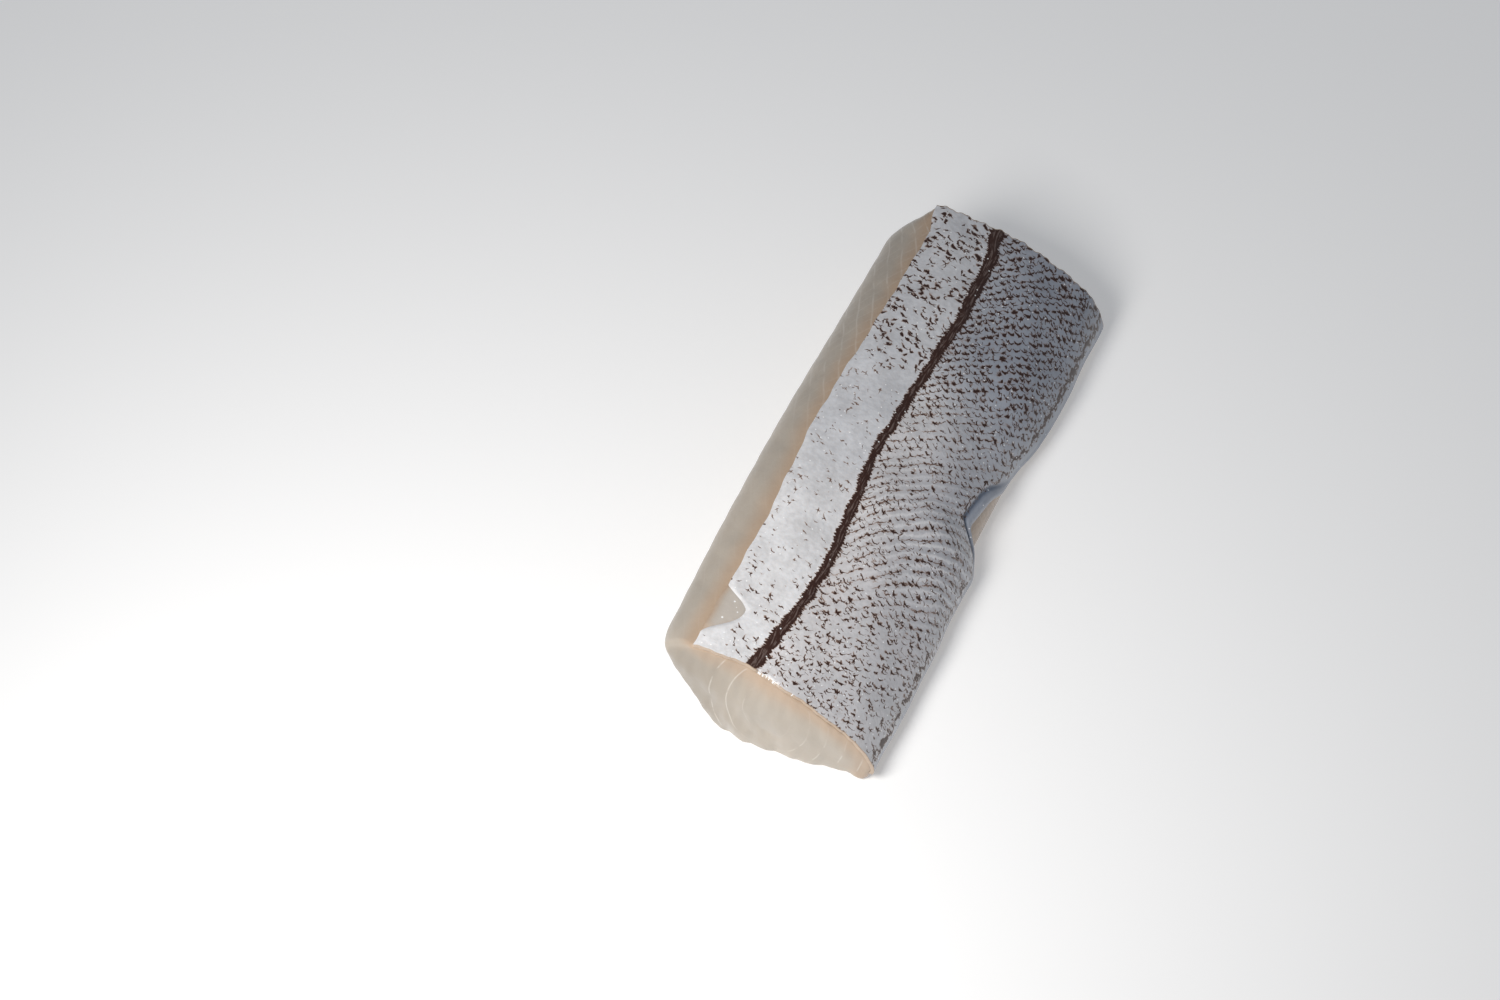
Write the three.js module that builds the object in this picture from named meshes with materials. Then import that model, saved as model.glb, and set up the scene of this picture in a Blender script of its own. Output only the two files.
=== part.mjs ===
// A skin-on haddock loin: one thick block of white flesh cut across the fish at both ends, lying
// skin side up on its flat underside. Millimetres, +Z up, +Y along the fish from the near cut to
// the far cut, +X from the trimmed side towards the back, where the skin rolls down the side.
import * as THREE from "three";

// ---------- driving dimensions, in millimetres ----------
const LENGTH = 150; // between the two cut edges
const SKIN = 0.8; // skin with its scales, standing proud of the flesh
const CUT_BULGE = { near: 1.3, far: 1.3 }; // the middle of each cut swells out
const CUT_ROUND = { back: 1.2, inset: 0.955 }; // soft flesh edge round each cut
const FOOT_BULGE = { x: 11, halfWidth: 22, top: 26, reach: 15, out: 1.8 }; // foot of the near cut

// Cross-section measures at the near cut, at each quarter of the length and at the far cut.
// X is measured from where the bare side meets the underside at the near cut.
const ALONG = {
  crown: [29.8, 30.8, 31.2, 31.0, 30.2], // height of the skin at its trimmed edge
  edgeX: [-8.4, -7.4, -8.7, -7.0, -6.6], // trimmed edge of the skin
  sideX: [-17.2, -18.2, -18.4, -17.6, -17.2], // widest point of the bare side
  sideZ: [23.6, 24.0, 24.2, 24.0, 23.4],
  footLeft: [0.0, -0.8, -1.2, -0.6, 0.4], // where the bare side meets the underside
  footRight: [34.6, 34.4, 34.4, 35.2, 35.8], // where the skinned side meets the underside
  rightX: [37.7, 37.9, 38.0, 38.6, 39.0], // widest point of the skinned side
  rightZ: [5.2, 5.4, 5.6, 5.4, 5.0],
  crownPower: [1.6, 1.66, 1.72, 1.76, 1.8], // superellipse powers: 1 is a chamfer, 2 an ellipse
  skinLowZ: [3.0, 2.8, 3.0, 2.8, 2.6], // height of the skin's lower edge
  lineRun: [15.0, 17.7, 17.1, 17.8, 15.6], // lateral line, along the skin from its trimmed edge
};
const POWER = { shoulder: 1.45, tuck: 2, undercut: 1.32 };

// Places where the piece departs from its smooth form. Each grows from start to full, and dies
// away from hold to end, all measured from the near cut.
const TORN = { start: 4, full: 13.5, hold: 14.5, end: 17.6, depth: 7 }; // bay torn from the edge
const DENT = { start: 60, full: 71, hold: 90, end: 114, depth: 2.8 }; // hollow in the skinned side
const LIFT = { start: 65, full: 72, hold: 75, end: 97, height: 7.4 }; // lower edge rides up
const CREASE = { start: 58, full: 69, hold: 84, end: 94, above: 3.4, halfWidth: 1.7, depth: 1.2 };
const LIP = { above: 0.8, halfWidth: 1.5, out: 0.5 }; // the edge curls out below the crease
const CORNERS = { far: { reach: 11, width: 6.4 }, near: { reach: 5, width: 1.4 } }; // bare side
const LINE = { halfWidth: 1.9, ridge: 0.3 }; // the lateral line stands up a little

// Waves that keep the edges and faces from being ruled straight.
const EDGE_WAVES = { big: 0.4, small: 0.2, low: 0.35 };
const SKIN_WAVES = { broad: 0.18, cross: 0.12 };
const FLAKE = { pitch: 9.5, slant: 0.6, depth: 0.2, arcPitch: 9, arcX: 4, arcZ: 40 };

// Mesh fineness: stations along the loin and faces round each part of a section.
const STATIONS = 62;
const ROUND = { strip: 6, line: 2, crown: 15, low: 5, tuck: 4, base: 10, undercut: 8, shoulder: 8 };
const CAP_RINGS = 10;
const SAMPLES = 80; // on each quadrant of the fine outline from which a section is spaced out

// ---------- small maths ----------
const { clamp, lerp, smoothstep } = THREE.MathUtils;
const point = (x, z) => new THREE.Vector2(x, z);
const span = (y, s) => smoothstep(y, s.start, s.full) - smoothstep(y, s.hold, s.end);
const hump = (v, half) => (1 - clamp(Math.abs(v) / half, 0, 1) ** 2) ** 2;
const evenly = (from, to, pieces) =>
  Array.from({ length: pieces }, (_, i) => lerp(from, to, i / pieces));

const CURVES = Object.fromEntries(
  Object.entries(ALONG).map(([name, values]) => [
    name,
    new THREE.SplineCurve(values.map((v, i) => point(i, v))),
  ]),
);

// One quadrant of a superellipse, from above its centre to beside it, or the other way round.
class Quadrant extends THREE.Curve {
  constructor(centre, radiusX, radiusZ, power, backwards = false) {
    super();
    Object.assign(this, { centre, radiusX, radiusZ, power, backwards });
  }
  getPoint(u) {
    const angle = ((this.backwards ? 1 - u : u) * Math.PI) / 2;
    const x = Math.max(0, Math.sin(angle)) ** (2 / this.power);
    const z = Math.max(0, Math.cos(angle)) ** (2 / this.power);
    return point(this.centre.x + this.radiusX * x, this.centre.y + this.radiusZ * z);
  }
}

// A fine outline with its running length, from which any place along it can be taken.
class Outline {
  constructor(...curves) {
    this.points = curves.flatMap((curve, i) => curve.getPoints(SAMPLES).slice(i ? 1 : 0));
    this.run = [0];
    for (let i = 1; i < this.points.length; i++)
      this.run.push(this.run[i - 1] + this.points[i].distanceTo(this.points[i - 1]));
    this.length = this.run.at(-1);
  }
  at(s) {
    const i = clamp(this.run.findIndex((r) => r >= s), 1, this.run.length - 1);
    const share = (s - this.run[i - 1]) / (this.run[i] - this.run[i - 1]);
    return this.points[i - 1].clone().lerp(this.points[i], clamp(share, 0, 1));
  }
  // The place at s, moved out of the section by a distance.
  off(s, distance) {
    const near = 0.6;
    const ahead = this.at(Math.min(s + near, this.length));
    const way = ahead.sub(this.at(Math.max(s - near, 0)));
    return this.at(s).addScaledVector(point(-way.y, way.x).normalize(), distance);
  }
  runAtHeight(z) {
    const i = this.points.findIndex((p) => p.y < z);
    const [above, below] = [this.points[i - 1], this.points[i]];
    return lerp(this.run[i - 1], this.run[i], (above.y - z) / (above.y - below.y));
  }
}

// ---------- the section ----------
// All measures of the section at distance y from the near cut, corners and hollows included.
function measuresAt(y) {
  const share = clamp(y / LENGTH, 0, 1);
  const m = {};
  for (const [name, curve] of Object.entries(CURVES)) m[name] = curve.getPoint(share).y;
  const corner = ({ width, reach }, away) =>
    width * (1 - Math.sqrt(1 - clamp(1 - away / reach, 0, 1) ** 2));
  m.sideX += corner(CORNERS.far, LENGTH - y) + corner(CORNERS.near, y);
  m.rightX -= DENT.depth * span(y, DENT);
  m.footRight -= 0.6 * DENT.depth * span(y, DENT);
  m.edgeX += EDGE_WAVES.big * Math.sin(y * 0.33 + 0.6) + EDGE_WAVES.small * Math.sin(y * 0.81);
  m.skinLowZ += LIFT.height * span(y, LIFT) + EDGE_WAVES.low * Math.sin(y * 0.47);
  m.torn = TORN.depth * span(y, TORN);
  return m;
}

// The four curved parts of the bare flesh, in the order in which the ring runs.
function quadrants(m) {
  const top = m.crown - SKIN;
  const right = m.rightX - SKIN;
  const edge = point(m.edgeX, m.sideZ);
  return {
    crown: new Quadrant(
      point(m.edgeX, m.rightZ), right - m.edgeX, top - m.rightZ, m.crownPower),
    tuck: new Quadrant(
      point(m.footRight, m.rightZ), right - m.footRight, -m.rightZ, POWER.tuck, true),
    undercut: new Quadrant(
      point(m.footLeft, m.sideZ), m.sideX - m.footLeft, -m.sideZ, POWER.undercut),
    shoulder: new Quadrant(edge, m.sideX - m.edgeX, top - m.sideZ, POWER.shoulder, true),
  };
}

// How far the skin stands off its smooth form: the lateral line's ridge, the crease above the
// lower edge with the lip under it, and slow waves over the whole skin.
function skinRelief(s, y, line, low) {
  const ridge = LINE.ridge * hump(s - line, LINE.halfWidth);
  const crease = CREASE.depth * hump(low - s - CREASE.above, CREASE.halfWidth);
  const lip = LIP.out * hump(low - s - LIP.above, LIP.halfWidth);
  const broad = SKIN_WAVES.broad * Math.sin(s * 0.31 + y * 0.13);
  const cross = SKIN_WAVES.cross * Math.sin(y * 0.29 - s * 0.17);
  return ridge + (lip - crease) * span(y, CREASE) + broad + cross;
}

// Muscle flakes on the bare side: slanting steps, each a gentle swell with a sharper valley.
function flakeRelief(run, y) {
  const phase = (y + FLAKE.slant * run) / FLAKE.pitch;
  return FLAKE.depth * (Math.abs(Math.sin(Math.PI * phase)) - 0.6);
}

// Places along the skin from its trimmed edge to its lower edge, closest at the lateral line and
// at the lower edge.
function skinRuns(m, low) {
  const line = [m.lineRun - LINE.halfWidth, m.lineRun + LINE.halfWidth];
  const rolled = low - CREASE.above - CREASE.halfWidth;
  return [
    ...evenly(m.torn, line[0], ROUND.strip),
    ...evenly(line[0], line[1], ROUND.line),
    ...evenly(line[1], rolled, ROUND.crown),
    ...evenly(rolled, low, ROUND.low),
    low,
  ];
}

// One closed ring of the solid at distance y: the skin, then the bare strip under it, the flat
// underside, the undercut and the shoulder up to the skin again.
function ringAt(y) {
  const m = measuresAt(y);
  const q = quadrants(m);
  const right = new Outline(q.crown, q.tuck);
  const left = new Outline(q.undercut, q.shoulder, q.crown);
  const low = right.runAtHeight(m.skinLowZ);
  const skin = skinRuns(m, low).map((s) =>
    right.off(s, SKIN + skinRelief(s, y, m.lineRun, low)));
  const strip = [...evenly(low, right.length, ROUND.tuck), right.length].map((s) => right.at(s));
  const base = evenly(m.footRight, m.footLeft, ROUND.base).slice(1).map((x) => point(x, 0));
  const widest = new Outline(q.undercut).length;
  const edge = new Outline(q.undercut, q.shoulder).length + m.torn;
  const bare = [
    ...evenly(0, widest, ROUND.undercut),
    ...evenly(widest, edge, ROUND.shoulder),
    edge,
  ].map((s) => left.off(s, flakeRelief(s, y) * smoothstep(s, 0, 8)));
  bare[0] = point(m.footLeft, 0);
  return { outline: [...skin, ...strip, ...base, ...bare], skinPoints: skin.length };
}

// ---------- the solid ----------
// One cut face: copies of the end outline that shrink towards its middle, swell outwards and
// carry the curved edges of the muscle flakes.
function cutFace(outline, y, outwards, bulge) {
  const middle = outline.reduce((sum, p) => sum.add(p), point(0, 0));
  middle.divideScalar(outline.length);
  const place = (p, share) => {
    const q = middle.clone().lerp(p, share);
    const reach = Math.hypot(q.x - FLAKE.arcX, q.y - FLAKE.arcZ);
    const arcs = Math.sin((2 * Math.PI * reach) / FLAKE.arcPitch);
    const swell = bulge * (1 - share ** 2) + FLAKE.depth * arcs * (1 - share ** 4);
    return [q.x, y + outwards * swell, q.y];
  };
  const shares = evenly(CUT_ROUND.inset, 0, CAP_RINGS);
  return { rings: shares.map((share) => outline.map((p) => place(p, share))), tip: place(middle, 0) };
}

// The near cut bulges out at its foot, where the soft flesh has settled under its own weight.
function settle([x, y, z]) {
  const over = hump(x - FOOT_BULGE.x, FOOT_BULGE.halfWidth) * clamp(1 - z / FOOT_BULGE.top, 0, 1);
  return [x, y - FOOT_BULGE.out * over * clamp(1 - y / FOOT_BULGE.reach, 0, 1) ** 2, z];
}

// Joins rings of equal size into one closed surface, with a fan at each end.
function closedSurface(rings, firstTip, lastTip) {
  const count = rings[0].length;
  const positions = [...rings.flat(), firstTip, lastTip].flatMap(settle);
  const at = (ring, i) => ring * count + (i % count);
  const last = rings.length - 1;
  const tips = [rings.length * count, rings.length * count + 1];
  const index = [];
  for (let i = 0; i < count; i++) {
    index.push(tips[0], at(0, i + 1), at(0, i), tips[1], at(last, i), at(last, i + 1));
    for (let r = 0; r < last; r++) {
      index.push(at(r, i), at(r, i + 1), at(r + 1, i + 1));
      index.push(at(r, i), at(r + 1, i + 1), at(r + 1, i));
    }
  }
  return new THREE.BufferGeometry()
    .setAttribute("position", new THREE.Float32BufferAttribute(positions, 3))
    .setIndex(index);
}

function loinGeometry() {
  const first = 2 * CUT_ROUND.back;
  const stations = [...evenly(first, LENGTH - first, STATIONS - 3), LENGTH - first];
  const body = stations.map((y) => ringAt(y).outline.map((p) => [p.x, y, p.y]));
  // At a cut the skin ends square and the flesh edge is rounded back.
  const end = (y, inwards) => {
    const { outline, skinPoints } = ringAt(y);
    const back = (i) => (i < skinPoints ? 0 : inwards * CUT_ROUND.back);
    return { outline, rim: outline.map((p, i) => [p.x, y + back(i), p.y]) };
  };
  const near = end(0, 1);
  const far = end(LENGTH, -1);
  const nearFace = cutFace(near.outline, 0, -1, CUT_BULGE.near);
  const farFace = cutFace(far.outline, LENGTH, 1, CUT_BULGE.far);
  const geometry = closedSurface(
    [...nearFace.rings.toReversed(), near.rim, ...body, far.rim, ...farFace.rings],
    nearFace.tip,
    farFace.tip,
  );
  geometry.computeBoundingBox();
  const { min, max } = geometry.boundingBox;
  geometry.translate(-(min.x + max.x) / 2, -(min.y + max.y) / 2, -min.z);
  geometry.computeVertexNormals();
  return geometry;
}

// ---------- the part ----------
const rawHaddock = new THREE.MeshStandardMaterial({
  name: "raw haddock",
  color: 0xc6baac,
  roughness: 0.35,
  metalness: 0,
});

const loin = new THREE.Mesh(loinGeometry(), rawHaddock);
loin.name = "haddock_loin";

const part = new THREE.Group();
part.add(loin);

export default part;
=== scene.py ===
from math import cos, pi, radians, sin

import bpy
import numpy as np
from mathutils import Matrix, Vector


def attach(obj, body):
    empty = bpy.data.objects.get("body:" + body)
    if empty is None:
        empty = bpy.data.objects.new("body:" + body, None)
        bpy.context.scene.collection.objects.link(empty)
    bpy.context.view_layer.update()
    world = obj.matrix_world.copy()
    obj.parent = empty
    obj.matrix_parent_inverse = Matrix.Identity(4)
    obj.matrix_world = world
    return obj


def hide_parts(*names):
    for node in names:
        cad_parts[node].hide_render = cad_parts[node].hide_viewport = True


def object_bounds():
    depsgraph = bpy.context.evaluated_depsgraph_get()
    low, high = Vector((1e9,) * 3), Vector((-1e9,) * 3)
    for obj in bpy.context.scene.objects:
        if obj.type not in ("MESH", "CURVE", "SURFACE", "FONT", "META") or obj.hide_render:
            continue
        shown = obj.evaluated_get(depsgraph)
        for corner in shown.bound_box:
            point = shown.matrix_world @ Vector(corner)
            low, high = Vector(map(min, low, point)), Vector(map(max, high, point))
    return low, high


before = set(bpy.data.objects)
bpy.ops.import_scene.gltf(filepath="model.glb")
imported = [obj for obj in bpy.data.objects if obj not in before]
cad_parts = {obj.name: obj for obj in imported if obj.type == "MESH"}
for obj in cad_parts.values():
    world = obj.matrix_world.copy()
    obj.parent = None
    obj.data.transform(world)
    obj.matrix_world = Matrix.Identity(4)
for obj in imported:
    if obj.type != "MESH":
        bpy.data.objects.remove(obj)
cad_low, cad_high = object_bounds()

# ---------------------------------------------------------------------------------------------
# Camera: it looks down on the loin from in front of its near cut and a little to its skinned
# side, so that the fish runs up to the right. A long lens, about arm's length away.
CAMERA_AIM = Vector((-0.0291, -0.0186, 0.0123))  # the middle of the picture, in metres
CAMERA_TURN = radians(23.9)
CAMERA_DOWN = radians(52.0)
CAMERA_DISTANCE = 0.8124

camera_data = bpy.data.cameras.new("camera")
camera_data.lens = 80
camera_data.sensor_width = 36
camera = bpy.data.objects.new("camera", camera_data)
bpy.context.scene.collection.objects.link(camera)
bpy.context.scene.camera = camera
level = cos(CAMERA_DOWN) * CAMERA_DISTANCE
camera.location = CAMERA_AIM + Vector(
    (sin(CAMERA_TURN) * level, -cos(CAMERA_TURN) * level, sin(CAMERA_DOWN) * CAMERA_DISTANCE))
camera.rotation_euler = (pi / 2 - CAMERA_DOWN, 0, CAMERA_TURN)


# ---------------------------------------------------------------------------------------------
# Floor and light: a plain sheet of white paper that glows a little, so that the loin's shadow
# on it stays pale. It is lit as in a studio by one soft lamp in front, high up and a little to
# the bare side, and by an even pale room.
def colour(code):
    """An sRGB hex colour as the linear values that Blender takes."""
    parts = [int(code[i : i + 2], 16) / 255 for i in (1, 3, 5)]
    linear = [c / 12.92 if c <= 0.04045 else ((c + 0.055) / 1.055) ** 2.4 for c in parts]
    return (*linear, 1.0)


def feed(node, inputs):
    """Gives a node its inputs, by number or label, and returns it. A node or an output is linked,
    and a number, a vector or a hex colour is set."""
    sockets = [s for s in node.inputs if s.enabled]
    for key, value in inputs.items():
        into = sockets[key] if isinstance(key, int) else next(s for s in sockets if s.name == key)
        if isinstance(value, bpy.types.Node):
            value = next(s for s in value.outputs if s.enabled)
        if isinstance(value, bpy.types.NodeSocket):
            node.id_data.links.new(value, into)
        else:
            into.default_value = colour(value) if isinstance(value, str) else value
    return node


def material(name):
    """A new material, its node tree and its Principled shader."""
    made = bpy.data.materials.new(name)
    made.use_nodes = True
    return made, made.node_tree, made.node_tree.nodes["Principled BSDF"]


FLOOR_SIZE = 3.0
LAMP_PLACE = Vector((-0.06, -0.23, 0.26))
LAMP_SIZE, LAMP_WATTS = 0.14, 0.98

paper, _, shader = material("matt white paper")
feed(shader, {"Base Color": "#E4E4E4", "Roughness": 0.9,
              "Emission Color": "#FFFFFF", "Emission Strength": 0.3})
bpy.ops.object.select_all(action="DESELECT")
bpy.ops.mesh.primitive_plane_add(size=FLOOR_SIZE)
floor = bpy.context.object
floor.name = "floor"
floor.data.materials.append(paper)

lamp_data = bpy.data.lights.new("key lamp", "AREA")
lamp_data.size = LAMP_SIZE
lamp_data.energy = LAMP_WATTS
lamp_data.color = colour("#FFFCF8")[:3]
lamp = bpy.data.objects.new("key lamp", lamp_data)
bpy.context.scene.collection.objects.link(lamp)
lamp.location = LAMP_PLACE
lamp.rotation_euler = (-LAMP_PLACE).to_track_quat("-Z", "Y").to_euler()

world = bpy.data.worlds.new("studio")
world.use_nodes = True
feed(world.node_tree.nodes["Background"], {"Color": "#DDE6F4", "Strength": 0.2})
bpy.context.scene.world = world
bpy.context.scene.view_settings.view_transform = "Standard"


# ---------------------------------------------------------------------------------------------
# Flesh: one thick block of raw white muscle, cut square at both ends by one stroke of a long
# knife and left bare along the side where the belly was trimmed away. It is rolled up from a
# grid: across the grid runs the section, along it the length, and its ends shrink to a point.
MM = 0.001
LENGTH = 150.0  # between the two cut edges; from here on, in millimetres
SKIN = 0.8
CROWN = [29.8, 30.8, 31.2, 31.0, 30.2]  # height at the trimmed edge, at each quarter of the length
EDGE_X = [-8.4, -7.4, -8.7, -7.0, -6.6]  # the trimmed edge of the skin
SIDE_X = [-17.2, -18.2, -18.4, -17.6, -17.2]  # widest point of the bare side
SIDE_Z = [23.6, 24.0, 24.2, 24.0, 23.4]
FOOT_LEFT = [0.0, -0.8, -1.2, -0.6, 0.4]  # where the flat underside ends on each side
FOOT_RIGHT = [34.6, 34.4, 34.4, 35.2, 35.8]
RIGHT_X = [37.7, 37.9, 38.0, 38.6, 39.0]  # widest point of the skinned side
RIGHT_Z = [5.2, 5.4, 5.6, 5.4, 5.0]
CROWN_POWER = [1.6, 1.66, 1.72, 1.76, 1.8]  # of the superellipse: 1 is a chamfer, 2 an ellipse
SKIN_LOW = [3.0, 2.8, 3.0, 2.8, 2.6]  # height of the skin's lower edge
SHOULDER_POWER, TUCK_POWER, UNDERCUT_POWER = 1.45, 2.0, 1.32  # of the other three quarters

# Each of these grows from the first place to the second and dies from the third to the fourth.
TORN_SPAN, TORN_DEPTH = (4, 13.4, 13.6, 18.6), 7.0  # a bay torn from the skin's trimmed edge
TORN_SWELL = 0.45  # the soft flesh rises in it
DENT_SPAN, DENT_DEPTH = (60, 71, 90, 114), 2.8  # a hollow in the skinned side
LIFT_SPAN, LIFT_HEIGHT = (65, 72, 75, 97), 7.4  # where the skin's lower edge rides up
CREASE_SPAN = (58, 69, 84, 94)
CREASE_ABOVE, CREASE_HALF, CREASE_DEPTH = 3.2, 1.1, 0.7  # from the skin's lower edge
LIP_ABOVE, LIP_HALF, LIP_OUT = 0.8, 1.5, 0.25
FAR_CORNER, NEAR_CORNER = (12, 6.4), (5, 0.7)  # reach and width, on the bare side
FAR_MEET, NEAR_MEET = 0.24, 0.035  # how far short of level the cuts meet these corners
FLARE_REACH, FLARE = 10, 1.8  # the trimmed edge runs out again at the far cut
DIP_X, DIP_HALF, DIP_REACH, DIP = 5.5, 10, 18, 1.1  # the near cut dips in under the lateral line
CUT_BULGE, CUT_ROUND, CUT_INSET, SIDE_ROUND = 1.3, 1.2, 0.045, 1.6  # of both cuts and their rims
RING_MIDDLE, RING_PITCH, RING_TALL = (11.1, 15.0), 4.5, 1.3  # of the rings of flakes on a cut
# The near cut settles outwards at its foot.
FOOT_X, FOOT_HALF, FOOT_TOP, FOOT_REACH, FOOT_OUT = 11, 22, 26, 15, 1.8

FLESH_ROUND = {"crown": 76, "base": 34, "side": 92}  # faces round the section
FLESH_LONG, FLESH_CUT = 250, 34  # faces along the length and across each cut
WELD = 0.01 * MM  # points closer than this become one: in the middle of a cut, along the seam


def spline(values, share):
    """A smooth curve through values set evenly along the loin, at shares of its length."""
    values = np.asarray(values, float)
    last = len(values) - 1
    place = np.clip(share, 0, 1) * last
    i = np.minimum(place.astype(int), last - 1)
    w = place - i
    before, here = values[np.maximum(i - 1, 0)], values[i]
    there, after = values[i + 1], values[np.minimum(i + 2, last)]
    a, b = (there - before) / 2, (after - here) / 2
    return ((2 * (here - there) + a + b) * w + 3 * (there - here) - 2 * a - b) * w**2 + a * w + here


def ease(x, start, end):
    """0 before start, 1 after end, smooth between."""
    t = np.clip((np.asarray(x, float) - start) / (end - start), 0, 1)
    return t * t * (3 - 2 * t)


def span(y, places):
    return ease(y, *places[:2]) - ease(y, *places[2:])


def hump(v, half):
    return (1 - np.clip(np.abs(v) / half, 0, 1) ** 2) ** 2


def corner(size, away):
    reach, width = size
    return width * np.clip(1 - away / reach, 0, 1) ** 2.5


class Section:
    """The section across the loin at distance y from the near cut."""

    def __init__(self, y):
        at = lambda values: float(spline(values, np.array(y / LENGTH)))
        self.y = y
        self.top = at(CROWN) - SKIN
        self.edge = at(EDGE_X) + 0.15 * sin(0.33 * y + 0.6) + 0.1 * sin(0.81 * y)
        self.edge -= FLARE * float(ease(y, LENGTH - FLARE_REACH, LENGTH))
        self.side = at(SIDE_X) + corner(FAR_CORNER, LENGTH - y) + corner(NEAR_CORNER, y)
        self.side_z = at(SIDE_Z)
        self.left = at(FOOT_LEFT)
        dent = DENT_DEPTH * float(span(y, DENT_SPAN))
        self.right = at(FOOT_RIGHT) - 0.6 * dent
        self.far = at(RIGHT_X) - SKIN - dent
        self.far_z = at(RIGHT_Z)
        self.power = at(CROWN_POWER)
        self.torn = TORN_DEPTH * float(span(y, TORN_SPAN)) ** 0.7
        low_z = at(SKIN_LOW) + LIFT_HEIGHT * float(span(y, LIFT_SPAN)) + 0.35 * sin(0.47 * y)
        self.skinned = self.path(
            self.quadrant(self.edge, self.far_z, self.far, self.top, self.power),
            self.quadrant(self.right, self.far_z, self.far, 0, TUCK_POWER, True))
        run, points = self.skinned
        self.low = float(np.interp(-low_z, -points[:, 1], run))

    @staticmethod
    def quadrant(x, z, side, top, power, backwards=False):
        """A quarter of a superellipse round (x, z), from its top to its side or backwards."""
        turn = np.linspace(0, pi / 2, 81)[:, None]
        if backwards:
            turn = turn[::-1]
        share = np.hstack((np.sin(turn), np.cos(turn))).clip(0) ** (2 / power)
        return np.array((x, z)) + share * np.array((side - x, top - z))

    @staticmethod
    def path(*curves):
        points = np.vstack([curves[0], *(c[1:] for c in curves[1:])])
        steps = np.hypot(*np.diff(points, axis=0).T)
        return np.concatenate(([0], np.cumsum(steps))), points

    def bare(self):
        """The bare side, from the foot up to the trimmed edge of the skin."""
        return self.path(
            self.quadrant(self.left, self.side_z, self.side, 0, UNDERCUT_POWER),
            self.quadrant(self.edge, self.side_z, self.side, self.top, SHOULDER_POWER, True))


def along(path, places, out=0.0):
    """Points at these distances along a path, moved out of the section."""
    run, points = path
    at = lambda s: np.stack([np.interp(s, run, points[:, k]) for k in (0, 1)], 1)
    way = at(np.minimum(places + 0.6, run[-1])) - at(np.maximum(places - 0.6, 0))
    normal = np.stack([-way[:, 1], way[:, 0]], 1) / np.hypot(*way.T)[:, None]
    return at(places) + normal * np.reshape(out, (-1, 1))


def skin_relief(section, s):
    """How far the skin stands off its smooth form: crease, curled lip and slow waves."""
    up = section.low - s
    fold = LIP_OUT * hump(up - LIP_ABOVE, LIP_HALF)
    fold -= CREASE_DEPTH * hump(up - CREASE_ABOVE, CREASE_HALF)
    waves = 0.18 * np.sin(0.31 * s + 0.13 * section.y) + 0.12 * np.sin(0.29 * section.y - 0.17 * s)
    return fold * span(section.y, CREASE_SPAN) + waves


def uneven_cuts(x, z, y):
    """How far the loin's ends stray along it: the knife dips at the line and wavers all over."""
    dip = DIP * hump(x - DIP_X, DIP_HALF) * ease(z, 12, 26) * np.clip(1 - y / DIP_REACH, 0, 1) ** 2
    near = 0.1 * np.sin(0.9 * x + 0.4 * z) + 0.07 * np.sin(2.1 * x - 0.3 * z)
    near = near + 0.45 * np.sin(0.75 * x + 1) * np.sin(0.29 * x + 1) * (1 - ease(z, 0, 7))
    near = near * (1 - ease(y, 0, 6))
    far = (0.25 * np.sin(1.3 * x + 0.5 * z) + 0.15 * np.sin(2.9 * x)) * ease(y, LENGTH - 6, LENGTH)
    return dip + near + far


def flake_edges(x, z):
    """Low ridges on a cut where its rings of flakes part, on slow swells."""
    reach = np.hypot(x - RING_MIDDLE[0], (z - RING_MIDDLE[1]) / RING_TALL)
    bends = 0.8 * np.sin(0.3 * x) + 0.5 * np.sin(0.5 * z)
    rings = 0.16 * np.abs(np.sin(pi * reach / RING_PITCH + bends))
    return rings + 0.45 * np.sin(0.23 * x + 0.31 * z) * np.sin(0.17 * z - 0.11 * x + 1)


def flesh_ring(section):
    """The section's outline and, at each of its points, how deep under the skin's edge it is, how
    far the skin covers it and how far it lies in the torn bay."""
    run, _ = section.skinned
    s = np.linspace(0, run[-1], FLESH_ROUND["crown"] + 1)
    cover = ease(s - section.torn, 0.1, 1.4) * ease(section.low - s, 0.1, 1.2)
    healed = TORN_SWELL * (1 - ease(s - section.torn, 0.1, 1.4)) * min(section.torn, 1)
    crown = along(section.skinned, s, cover * (skin_relief(section, s) - 0.05) + healed)
    x = np.linspace(section.right, section.left, FLESH_ROUND["base"] + 1)[1:]
    base = np.stack([x, np.zeros_like(x)], 1)
    bare = section.bare()
    t = np.linspace(0, bare[0][-1], FLESH_ROUND["side"] + 1)[1:]
    flakes = 0.1 * (np.abs(np.sin(pi * (section.y + 0.6 * t) / 9.5)) - 0.6) * ease(t, 0, 8)
    side = along(bare, t, flakes * ease(bare[0][-1] - t, 0, 1.5))
    below = np.concatenate((np.where(s < section.torn, -np.minimum(3 * s, 6), 0),
                            np.full(len(x), -40.0), t - bare[0][-1]))
    torn_open = np.minimum(healed / TORN_SWELL, ease(s, 0, 2.5))
    return np.vstack((crown, base, side)), below, *(
        np.concatenate((values, 0 * x, 0 * t)) for values in (cover, torn_open))


across = sum(FLESH_ROUND.values())
lengthways = FLESH_LONG + 2 * FLESH_CUT
bpy.ops.object.select_all(action="DESELECT")
bpy.ops.mesh.primitive_grid_add(x_subdivisions=across, y_subdivisions=lengthways, size=1)
flesh = bpy.context.object
flesh.name = "flesh"

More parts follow.
